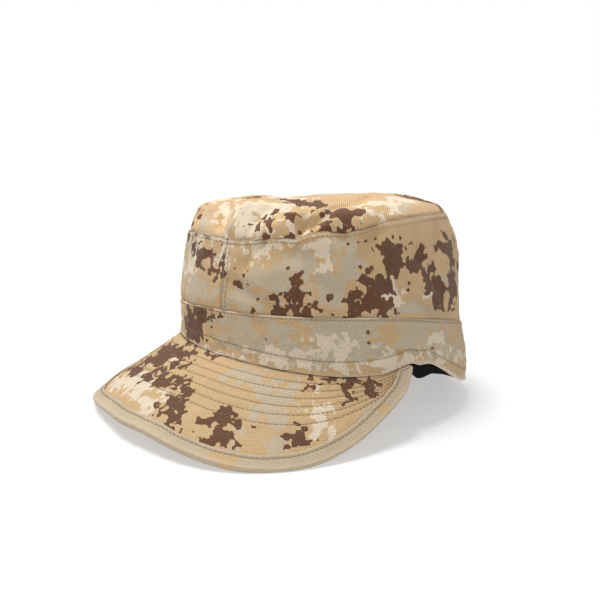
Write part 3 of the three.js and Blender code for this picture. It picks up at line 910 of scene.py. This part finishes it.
def sideRelief(angle, height):
    # how far the cloth stands out from the smooth body
    x = angle * cap["round"]
    below = around("topSeam", angle) - height
    above = height - around("bandTop", angle)
    lift = sides["seamLift"] * (1 - ease(2.6, 4.2, below)) - 0.3 * bell(below - 2.3, 0.6)
    lift += 1.1 * ripple(x, 0, 7.5, 3.1) * bell(max(below, 0), 7.5)
    lift += 0.8 * ripple(x, 0, 9.0, 7.7) * bell(above, 8)
    fromFront = turnBetween(angle, cap["frontSeam"]) * cap["round"]
    fromBack = turnBetween(angle, 180) * cap["round"]
    if fromFront > 0:
        lift += 0.6 * (1 - ease(sides["seamFold"] - 0.9, sides["seamFold"], fromFront))
    for far in (fromFront, fromBack):
        lift -= 0.3 * sum(bell(far - row, 0.5) for row in sides["seamRows"])
        lift -= 0.25 * ripple(height, 0, 5, 1.3) * bell(far, 8)
    lift += sides["ripples"] * ripple(x, height * 0.8, 17, 0.4) + 0.45 * ripple(x * 0.7, height, 7, 5.5)
    return lift - creaseDepth(sides["creases"], turnBetween(angle, 0) * cap["round"], height, cap["round"])


def sidePoint(angle, height, depth=0.0):
    over = height - (around("bandTop", angle) - 1.6)
    tuck = (cap["bandWall"] + cap["gap"] + 0.2) * (1 - ease(0, 2.2, over))
    lift = sideRelief(angle, height) * ease(-1, 3, over)
    return bodyPoint(angle, height, dentDepth(angle, height) + tuck - lift + depth)


def makeSide(name, fromAngle, toAngle):
    def place(u, share, depth, fold):
        angle = mix(fromAngle, toAngle, u)
        x, wall = angle * cap["round"], cap["crownWall"]
        low = around("bandTop", angle)
        high = around("topSeam", angle) + sides["seamRise"]
        height = wallHeight(low - sides["tuck"], high, wall, share, fold)
        toSeam, toFront = high - height, turnBetween(angle, cap["frontSeam"]) * cap["round"]
        values = printMarks("crown", x, height, girth)
        values["inside"] = ease(0.4, 0.8, depth)
        # the folded seam edges are pale: partly rubbed wear, partly a painted highlight
        values["wear"] = 0.8 * bell(toSeam - 0.4, 0.8) + 0.5 * bell(abs(toFront) - 0.2, 0.8)
        # painted shade: along the sewn row under the top seam, in the crevice just above the band, and along
        # the front seam and its rows
        values["groove"] = 0.7 * bell(toSeam - 2.5, 0.4) + 0.8 * bell(height - low, 0.6)
        if toFront > -cap["round"]:
            values["groove"] += 0.4 * sum(bell(abs(toFront) - row, 0.5) for row in sides["seamRows"])
            values["groove"] += 0.6 * bell(abs(toFront), 0.4)
        return sidePoint(angle, height, depth * wall), (x, height + depth * sides["backShift"]), values

    piece = bendGrid(name, sides, place, "crown", False)
    return piece


crownLeft = makeSide("crown_left_cloth", cap["frontSeam"] - 0.05, 179.95)
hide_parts("crown_left")
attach(crownLeft, "root")
crownRight = makeSide("crown_right_cloth", -179.95, cap["frontSeam"] - 0.15)
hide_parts("crown_right")
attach(crownRight, "root")
print("side panels made")


# top panel

top = {
    "columns": 400,
    "rings": 62,
    "foldRows": 5,
    "backRings": 12,
    "bunch": (1.5, 1.3),  # how much closer the face's and the back's rings lie at the seam
    "reach": 96,          # cloth from the seam to the middle
    "centre": 35,         # the dome stands out from this height
    "tuck": 0.8,          # the rim goes in under the folded edge
    "tuckWidth": 2.2,
    "backShift": 400,
    "creases": [          # from x and y, to x and y, depth and half width
        (43.5, -80, 43, -73, 5.4, 2.8), (43, -73, 48, -70, 4.8, 2.5), (48, -70, 52, -63, 4.2, 2.4),
        (52, -63, 50, -54, 3.6, 2.5), (50, -54, 51, -40, 3.0, 2.8), (51, -40, 45, -15, 2.2, 3.4),
        (31, -88, 37, -75, -2.8, 4.4), (59, -60, 67, -44, -2.8, 6.5), (-3, -97, -9, -91, 5.4, 4.2),
        (-9, -91, -15, -80, 5.8, 4.6), (5, -96, 8, -83, -3.2, 4.0), (18, -94, 22, -80, 2.2, 3.2),
        (-24, -92, -28, -78, -1.8, 5.0), (-36, -84, -33, -74, 2.0, 4.0), (13, -80, 27, -70, -1.3, 4.0),
        (-38, -78, -22, -60, 1.1, 5.0), (66, -58, 60, -44, 0.8, 4.0), (10, 20, 30, -10, 0.8, 7.0),
        (-50, 20, -30, 50, 1.0, 8.0), (-60, -30, -40, -10, 1.0, 7.0), (40, 40, 60, 20, 0.9, 7.0),
    ],
}


@lru_cache(maxsize=None)
def domeHeight(seamHeight, share):
    wanted = ovalScale(seamHeight) * (1 - share)
    low, high = seamHeight, cap["profile"][-1][0]
    for _ in range(26):
        middle = (low + high) / 2
        low, high = (middle, high) if ovalScale(middle) > wanted else (low, middle)
    return (low + high) / 2, wanted


flatSteps = 40


@lru_cache(maxsize=None)
def flatRows(angle):
    # cloth from the middle of the dome out to each step of the way to the seam
    reach, rows, last = 0.0, [], None
    for k in range(flatSteps + 1):
        height, scale = domeHeight(around("topSeam", angle), 1 - k / flatSteps)
        spot = bodyPoint(angle, height, 0, scale)
        reach += (spot - last).length if last else 0
        rows.append((k / flatSteps, reach))
        last = spot
    return rows


def domePoint(angle, share, depth):
    height, scale = domeHeight(around("topSeam", angle), share)
    dent = dentDepth(angle, height) * clamp(scale * 2)
    raised = height - dent * 0.5 * ease(0, 0.1, share) + cap["gap"] * 0.5
    point = bodyPoint(angle, raised, dent, scale)
    fromSeam = share * top["reach"]
    lift = top["tuck"] * (ease(0, top["tuckWidth"], fromSeam) - 1)
    lift += 1.3 * ripple(angle * cap["round"], 0, 9, 2.2) * bell(fromSeam, 9)
    lift += 1.6 * ripple(point.x, point.y, 26, 4.4) * ease(0, 12, fromSeam)
    lift += 0.45 * ripple(point.x, point.y, 8, 6.1)
    lift -= creaseDepth(top["creases"], point.x, point.y) * mix(0.35, 1, ease(0, 3, fromSeam))
    outward = (point - Vector((0, 0, top["centre"]))).normalized()
    return point + outward * (lift - depth)


def topPlace(u, share, depth, fold):
    angle = 360 * u
    side, front = sin(radians(angle)), cos(radians(angle))
    point = domePoint(angle, share, depth * cap["crownWall"]) + Vector((side, -front, -0.35)) * fold * 0.5
    values = printMarks("top", point.x, point.y)
    values["inside"] = ease(0.4, 0.8, depth)
    # painted shade along the rim, where the top panel goes in under the folded seam edge
    values["groove"] = 0.5 * bell(share * top["reach"] - 0.3, 0.7) * (1 - depth)
    flat = between(flatRows(angle), 1 - share)
    return point, (flat * side + top["backShift"] * depth, -flat * front), values


faceBunch, backBunch = top["bunch"]
folds = [pi * k / top["foldRows"] for k in range(1, top["foldRows"])]
top["stations"] = [((1 - k / top["rings"]) ** faceBunch, 0.0, 0.0) for k in range(top["rings"] + 1)]
top["stations"] += [(0.0, (1 - cos(bend)) / 2, sin(bend)) for bend in folds]
top["stations"] += [((k / top["backRings"]) ** backBunch, 1.0, 0.0) for k in range(top["backRings"] + 1)]
crownTop = bendGrid("crown_top_cloth", top, topPlace, "top", True)
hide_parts("crown_top")
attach(crownTop, "root")
print("top panel made")


# head band, doubled cloth with a folded upper edge and a turned hem

band = {
    "columns": 520,
    "faceRows": 42,
    "foldRows": 6,
    "backRows": 8,
    "hemRow": 8.0,
    "hemRise": (1.0, 62, 16),  # the row runs higher here: by how much, angle and half width
    "topRow": 1.4,
    "creases": [          # angle and height at both ends, depth and half width in millimetres
        (-7, 40, -3, 28, 0.9, 2.6), (-3, 28, 6, 22, 0.7, 2.2), (8, 26, 16, 20, 0.6, 2.2),
        (64, 24.5, 80, 25, 1.5, 3.0), (80, 25, 98, 17, 1.4, 3.0), (24, 21, 38, 19, 0.5, 1.8),
        (110, 20, 124, 12, 0.7, 3.0), (-30, 34, -44, 26, 0.6, 3.0), (-120, 14, -140, 22, 0.7, 4.0),
    ],
}
band["stations"] = section(band)


def hemRowAt(angle):
    # how far the sewn row lies above the hem
    rise, at, spread = band["hemRise"]
    return band["hemRow"] + rise * bell(turnBetween(angle, at), spread)


def bandRelief(angle, height):
    x = angle * cap["round"]
    high = around("bandTop", angle)
    low = hemHeight(angle)
    below, above = high - height, height - low
    lift = 0.3 * (1 - ease(2.6, 4.2, below)) - 0.3 * bell(below - band["topRow"], 0.6)
    row = hemRowAt(angle)
    lift += 0.4 * (1 - ease(0.3, 1.6, above - row) - bell(above - row, 0.6) + bell(above - 0.8, 0.9))
    lift += 0.6 * ripple(x, 0, 6.5, 8.8) * bell(above, 7) + 0.6 * ripple(x, 0, 7.5, 9.9) * bell(below, 6)
    lift += 0.75 * ripple(x, height, 16, 1.7) + 0.3 * ripple(x * 0.8, height, 6, 2.9)
    return lift - creaseDepth(band["creases"], turnBetween(angle, 0) * cap["round"], height, cap["round"])


def bandPoint(angle, height):
    return bodyPoint(angle, height, dentDepth(angle, height) - bandRelief(angle, height))


def bandPlace(u, share, depth, fold):
    angle, wall = 360 * u, cap["bandWall"] + cap["gap"]
    low, high = hemHeight(angle), around("bandTop", angle)
    height = wallHeight(low, high, wall, share, fold)
    point = bandPoint(angle, height) + (bodyPoint(angle, height, depth * wall) - bodyPoint(angle, height, 0))
    x, below, above = angle * cap["round"], high - height, height - low
    values = printMarks("band", x, height, girth)
    # pale at the folded upper edge and at the hem: partly rubbed wear, partly a painted highlight
    values["wear"] = 0.9 * bell(below - 0.2, 0.7) + bell(above - 0.5, 0.8)
    # painted shade: along the sewn rows and over the whole inner face of the band
    values["groove"] = 0.5 * bell(below - band["topRow"], 0.45) + 0.8 * depth
    values["groove"] += 0.6 * bell(above - hemRowAt(angle), 0.5)
    return point, (x, height), values


bandPiece = bendGrid("band_cloth", band, bandPlace, "band", True)
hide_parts("band")
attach(bandPiece, "root")
print("band made")


# black sweatband inside

sweat = {"columns": 300, "faceRows": 14, "foldRows": 4, "backRows": 24, "start": 0.55, "topDrop": 7.3}
sweat["stations"] = section(sweat)


def sweatPoint(angle, height, depth):
    x = angle * cap["round"]
    lift = 0.35 * ripple(x, height, 12, 3.3)
    lift += 0.25 * ripple(x, 0, 6, 4.1) * bell(height - hemHeight(angle), 6)
    inward = cap["bandWall"] + sweat["start"] + depth + dentDepth(angle, height) - min(lift, 0.2)
    return bodyPoint(angle, height, inward)


def sweatPlace(u, share, depth, fold):
    angle = 360 * u
    low = hemHeight(angle) - around("sweatHang", angle)
    high = around("bandTop", angle) - sweat["topDrop"]
    height = wallHeight(low, high, cap["sweatWall"], share, fold)
    return sweatPoint(angle, height, depth * cap["sweatWall"]), (angle * cap["round"], height), {}


sweatPiece = bendGrid("sweatband_cloth", sweat, sweatPlace, "sweat", True, ("wear",))
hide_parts("sweatband")
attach(sweatPiece, "root")
print("sweatband made")


# stiff peak with sewn rows

peak.update({"columns": 320, "faceRows": 84, "foldRows": 4, "backRows": 40})
peak["stations"] = section(peak)


@lru_cache(maxsize=None)
def rootAt(step):
    return rootPlace(step / peak["rootSteps"] * peak["endAngle"], peak["rootScale"])


def peakPlace(t, share):
    rootS, rootG = rootAt(round(t * peak["rootSteps"]))
    edgeS, edgeG = edgePlace(t)
    return mix(rootS, edgeS, share), mix(rootG, edgeG, share), hypot(edgeS - rootS, edgeG - rootG)


def peakRelief(t, share):
    s, g, length = peakPlace(t, share)
    lift = 0.12
    for row in peak["sewnRows"]:
        lift -= peak["groove"] * bell((share - row) * length, 0.9)
    lift += 0.22 * ripple(s, g, 14, 1.1) + 0.1 * ripple(s, g, 5, 2.1)
    return lift * clamp(length / 20)


def peakPoint(t, share):
    s, g, _ = peakPlace(t, share)
    return sheetPoint(s, g, peak["thickness"] / 2 + peakRelief(t, share))


def peakWall(u, share, depth, fold):
    t = mix(-peak["span"], peak["span"], u)
    length = peakPlace(t, share)[2]
    half, relief = peak["thickness"] / 2, peakRelief(t, share)
    s, g, _ = peakPlace(t, share + fold * 0.4 / max(length, 4))
    point = sheetPoint(s, g, mix(half + relief, -half - 0.5 * relief, depth))
    values = printMarks("peak" if depth < 0.5 else "underPeak", s, g)
    # painted shade along the sewn rows, and a painted shadow on the top face where the peak meets the band
    grooves = sum(0.42 * bell((share - row) * length, 0.5) for row in peak["sewnRows"])
    fromHead = hypot(point.x / cap["halfWidth"], point.y / cap["halfLength"]) * 95 - 95.2
    values["groove"] = grooves * clamp(length / 20) + 1.3 * bell(fromHead, 0.7) * (1 - depth)
    return point, (s, g + peak["backShift"] * depth), values


peakPiece = bendGrid("peak_cloth", peak, peakWall, "peak", False)
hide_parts("peak")
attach(peakPiece, "root")
print("peak made")


# binding tape folded round the peak's edge

tape = {
    "columns": 380,
    "width": 8.0,
    "wall": 0.6,
    "gap": 0.4,
    "span": 0.99,
    "rowIn": 2.0,         # how far the sewn row lies from the tape's inner edge
    "half": 190,          # length from the middle to one end
    "inner": 0.72,        # the inner faces, as a share of the outer ones
    "reachSteps": 240,
}


def tapeReach(t):
    (s, g), (inS, inG) = edgePlace(t), edgeInward(t)
    reach = tape["width"]
    while reach > 1:
        spot = sheetPoint(s + inS * reach, g + inG * reach, 2)
        if hypot(spot.x / (cap["halfWidth"] + 1.6), spot.y / (cap["halfLength"] + 1.6)) > 1:
            break
        reach -= 0.25
    return reach


tape["out"] = tape["gap"] + tape["wall"] + 0.1
tape["lift"] = peak["thickness"] / 2 + tape["out"]
tapeEnds = (-tape["span"], tape["span"])
reachSteps = [mix(*tapeEnds, k / tape["reachSteps"]) for k in range(tape["reachSteps"] + 1)]
reachRows = [(t, tapeReach(t)) for t in reachSteps]


def tapeSpot(t, distance):
    (s, g), (inS, inG) = edgePlace(t), edgeInward(t)
    return s + inS * distance, g + inG * distance


def tapeLoop():
    # closed section: how far in from the edge, how high, and 1 for a face, 2 for the turn or 3 for the inside
    loop = [(1 - k / 12, 1.0, 1) for k in range(13)]
    loop += [(-sin(pi * k / 8), cos(pi * k / 8), 2) for k in range(1, 8)]
    loop += [(k / 8, -1.0, 1) for k in range(9)]
    inner = tape["inner"]
    return loop + [(1.0, -inner, 3), (0.05, -inner, 3), (0.05, inner, 3), (1.0, inner, 3), loop[0]]


def tapeRelief(t, distance, reach):
    puckers = 0.4 + 0.6 * bell(distance - reach * 0.4, 3)
    lift = 0.12 + 0.32 * ripple(t * tape["half"], distance * 0.3, 4.5, 5.2) * puckers
    return lift - 0.22 * bell(reach - distance - tape["rowIn"], 0.7)


def reachAt(t):
    return between(reachRows, t) + 0.35 * ripple(t * tape["half"], 0, 11, 9.1)


def tapePlace(u, inShare, rise, kind):
    t = mix(*tapeEnds, u)
    reach = reachAt(t)
    if kind == 2:
        s, g = tapeSpot(t, inShare * tape["out"])
        lift = rise * (tape["lift"] + tapeRelief(t, 0, reach))
        distance = inShare * 1.6
    else:
        distance = inShare * reach
        s, g = tapeSpot(t, distance)
        lift = rise * (tape["lift"] + (tapeRelief(t, distance, reach) if kind == 1 else 0))
    values = {"patch": patch(printed["tape"], s, g)}
    # pale along the folded outer edge and the inner edge: partly rubbed wear, partly a painted highlight
    values["wear"] = 0.6 * bell(distance, 1.8) + 0.4 * bell(reach - distance, 0.5)
    # painted shade along the sewn row
    values["groove"] = 0.9 * bell(reach - distance - tape["rowIn"], 0.6) if kind == 1 else 0.0
    return sheetPoint(s, g, lift), (t * tape["half"], distance if rise > 0 else -distance), values


tape["stations"] = tapeLoop()
tapePiece = bendGrid("peak_binding_tape", tape, tapePlace, "tape", False, ("patch", "wear", "groove"))
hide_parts("peak_binding")
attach(tapePiece, "root")
print("binding made")


# machine stitches, each a small rounded pellet that lies along its row

stitch = {
    "pitch": 2.8,
    "length": 1.95,
    "width": 0.52,
    "height": 0.38,
    "sink": 0.05,
    "sides": 6,
    "rings": 4,
    "clothNudge": (0.05, 0.05),  # small steps along a surface that find which way it faces
    "peakNudge": (0.002, 0.004),
    "tapeNudge": (0.002, 0.1),
    "middle": Vector((0, 0, 45)),  # stitches face away from here
    "reach": 80,
}


def placeStitch(bm, surface, a, b, along, nudge, length=stitch["length"], width=stitch["width"]):
    point, height = surface(a, b), stitch["height"]
    normal = (surface(a + nudge[0], b) - point).cross(surface(a, b + nudge[1]) - point).normalized()
    near = abs(point.z - stitch["middle"].z) < stitch["reach"]
    if normal.dot(point - stitch["middle"] if near else point) < 0:
        normal.negate()
    forward = along.normalized()
    side = normal.cross(forward).normalized()
    forward = side.cross(normal)
    spot = restTurn @ (point + normal * (height / 2 - stitch["sink"])) + restShift
    spot.z = max(spot.z, height / 2 + 0.1)
    basis = Matrix((forward * length / 2, side * width / 2, normal * height / 2)).transposed()
    shape = Matrix.Translation(spot / 1000) @ (restTurn @ basis * 0.001).to_4x4()
    segments = {"u_segments": stitch["sides"], "v_segments": stitch["rings"]}
    bmesh.ops.create_uvsphere(bm, radius=1.0, matrix=shape, **segments)


def sewRow(bm, surface, path, nudge, keep=None):
    # surface(a, b) is a point in millimetres; path is a dense list of (a, b)
    spots = [surface(*place) for place in path]
    row = bmesh.new()
    gone, due = 0.0, stitch["pitch"] / 2
    for index in range(1, len(spots)):
        along = spots[index] - spots[index - 1]
        step = along.length
        while step > 0 and gone + step >= due:
            share = (due - gone) / step
            a, b = (mix(before, after, share) for before, after in zip(path[index - 1], path[index]))
            due += stitch["pitch"]
            if not keep or keep(a, b):
                placeStitch(row, surface, a, b, along, nudge)
        gone += step
    rowMesh = bpy.data.meshes.new("row")
    row.to_mesh(rowMesh)
    row.free()
    bm.from_mesh(rowMesh)
    bpy.data.meshes.remove(rowMesh)


def angleRow(height):
    return [(angle, height(angle)) for angle, _ in hemRows]


onCloth = stitch["clothNudge"]
crownSeams = bmesh.new()
sewRow(crownSeams, sidePoint, angleRow(lambda a: around("topSeam", a) - sides["topRow"]), onCloth)
for across in sides["seamRows"]:
    for seam in (cap["frontSeam"], 180):
        angle = seam + across / cap["round"]
        low, high = around("bandTop", angle) + 1.2, around("topSeam", angle) - 1.2
        sewRow(crownSeams, sidePoint, [(angle, mix(low, high, k / 60)) for k in range(61)], onCloth)
crownStitches = finishPiece("crown_stitches", crownSeams, "thread")
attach(crownStitches, "root")

bandSeams = bmesh.new()
sewRow(bandSeams, bandPoint, angleRow(lambda a: around("bandTop", a) - band["topRow"]), onCloth)
sewRow(bandSeams, bandPoint, angleRow(lambda a: hemHeight(a) + hemRowAt(a)), onCloth)
bandStitches = finishPiece("band_stitches", bandSeams, "thread")
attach(bandStitches, "root")

sewn = {"peakSpan": 0.95, "tapeSpan": 0.94, "bandClear": 2.2, "edgeClear": 8.6, "tapeLeast": 5}


def clearOfBand(t, share):
    spot = peakPoint(t, share)
    wide, long = cap["halfWidth"] + sewn["bandClear"], cap["halfLength"] + sewn["bandClear"]
    fromEdge = (1 - share) * peakPlace(t, share)[2]
    return hypot(spot.x / wide, spot.y / long) > 1 and fromEdge > sewn["edgeClear"]


peakSeams = bmesh.new()
for share in peak["sewnRows"]:
    path = [(mix(-sewn["peakSpan"], sewn["peakSpan"], k / 400), share) for k in range(401)]
    sewRow(peakSeams, peakPoint, path, stitch["peakNudge"], clearOfBand)
peakStitches = finishPiece("peak_stitches", peakSeams, "thread")
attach(peakStitches, "root")


def tapeTop(t, inward):
    reach = reachAt(t)
    distance = reach - inward
    return sheetPoint(*tapeSpot(t, distance), tape["lift"] + tapeRelief(t, distance, reach))


tapeSeams = bmesh.new()
path = [(mix(-sewn["tapeSpan"], sewn["tapeSpan"], k / 500), tape["rowIn"]) for k in range(501)]
sewRow(tapeSeams, tapeTop, path, stitch["tapeNudge"], lambda t, inward: reachAt(t) > sewn["tapeLeast"])
tapeStitches = finishPiece("binding_stitches", tapeSeams, "thread")
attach(tapeStitches, "root")
print("stitches sewn")


# white threads that bind the raw hem behind the peak

overlock = {
    "pitch": 1.4,
    "length": 3.0,
    "width": 0.55,
    "from": 79,
    "to": 285,
    "slant": 0.9,
    "up": 1.5,
    "seed": 5,
    "jitter": (0.15, 0.25),  # along the hem in pitches, and up in millimetres
    "lengths": (0.8, 1.15),
}

hemThreads = bmesh.new()
dice = random.Random(overlock["seed"])
aside, upward = overlock["jitter"]
steps = int((overlock["to"] - overlock["from"]) * cap["round"] / overlock["pitch"])
for k in range(steps):
    angle = mix(overlock["from"], overlock["to"], (k + dice.uniform(-aside, aside)) / steps)
    base = hemHeight(angle) + overlock["up"] + dice.uniform(-upward, upward)
    along = bandPoint(angle + overlock["slant"] / cap["round"], base + 1.5) - bandPoint(angle, base - 1.2)
    length = overlock["length"] * dice.uniform(*overlock["lengths"])
    placeStitch(hemThreads, bandPoint, angle, base, along, onCloth, length, overlock["width"])
hemBinding = finishPiece("hem_overlock_threads", hemThreads, "whiteThread")
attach(hemBinding, "root")
print("hem threads made")


# floor

floorBm = bmesh.new()
bmesh.ops.create_circle(
    floorBm, cap_ends=True, cap_tris=False, segments=floorFinish["segments"], radius=floorFinish["radius"]
)
floorPiece = finishPiece("floor", floorBm, "floor")
